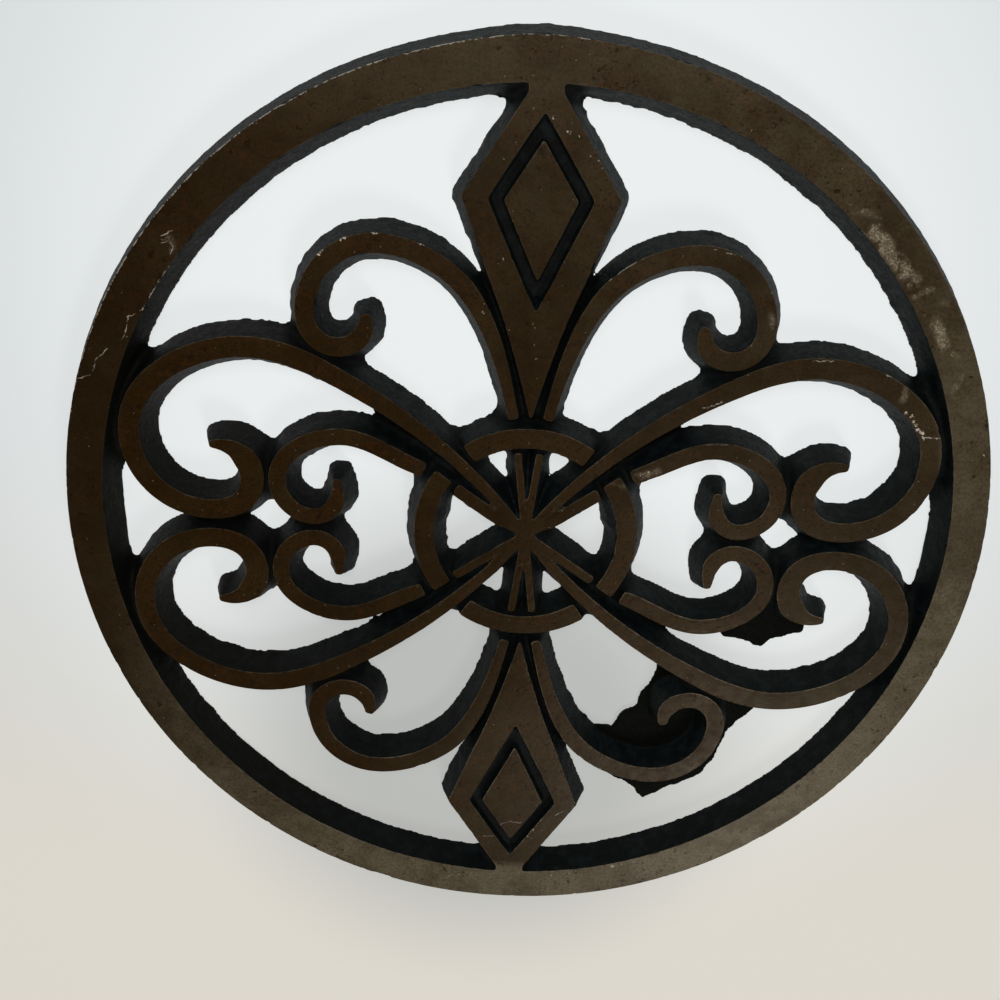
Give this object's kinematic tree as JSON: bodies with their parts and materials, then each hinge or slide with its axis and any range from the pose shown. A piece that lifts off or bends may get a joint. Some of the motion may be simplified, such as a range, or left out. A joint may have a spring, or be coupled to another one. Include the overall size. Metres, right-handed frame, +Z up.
{
  "type": "trivet",
  "caption": "Round openwork cast-metal trivet: flat rim, leaf spears with raised lozenges and mirrored scrolls round a ringed hub. Lies flat under a hot dish.",
  "frame": {"origin": "centre of the hub, on the flat back that the trivet lies on", "axes": "+Z up, out of the decorated face; +Y along the upper spear; +X to the right of the design"},
  "size_m": [0.2032, 0.2032, 0.007],
  "materials": {
    "bronzed_casting": "bronze-brown satin on the faces, near-black in the grooves and on the walls"
  },
  "bodies": {
    "root": {"outer_rim": "bronzed_casting", "hub_cross": "bronzed_casting", "hub_arc_top": "bronzed_casting", "hub_arc_right": "bronzed_casting", "hub_arc_bottom": "bronzed_casting", "hub_arc_left": "bronzed_casting", "upper_spear": "bronzed_casting", "upper_lozenge": "bronzed_casting", "lower_spear": "bronzed_casting", "lower_lozenge": "bronzed_casting", "upper_right_outer_scroll": "bronzed_casting", "upper_right_inner_scroll": "bronzed_casting", "upper_right_petal_scroll": "bronzed_casting", "upper_left_outer_scroll": "bronzed_casting", "upper_left_inner_scroll": "bronzed_casting", "upper_left_petal_scroll": "bronzed_casting", "lower_right_outer_scroll": "bronzed_casting", "lower_right_inner_scroll": "bronzed_casting", "lower_right_petal_scroll": "bronzed_casting", "lower_left_outer_scroll": "bronzed_casting", "lower_left_inner_scroll": "bronzed_casting", "lower_left_petal_scroll": "bronzed_casting"}
  },
  "joints": []
}
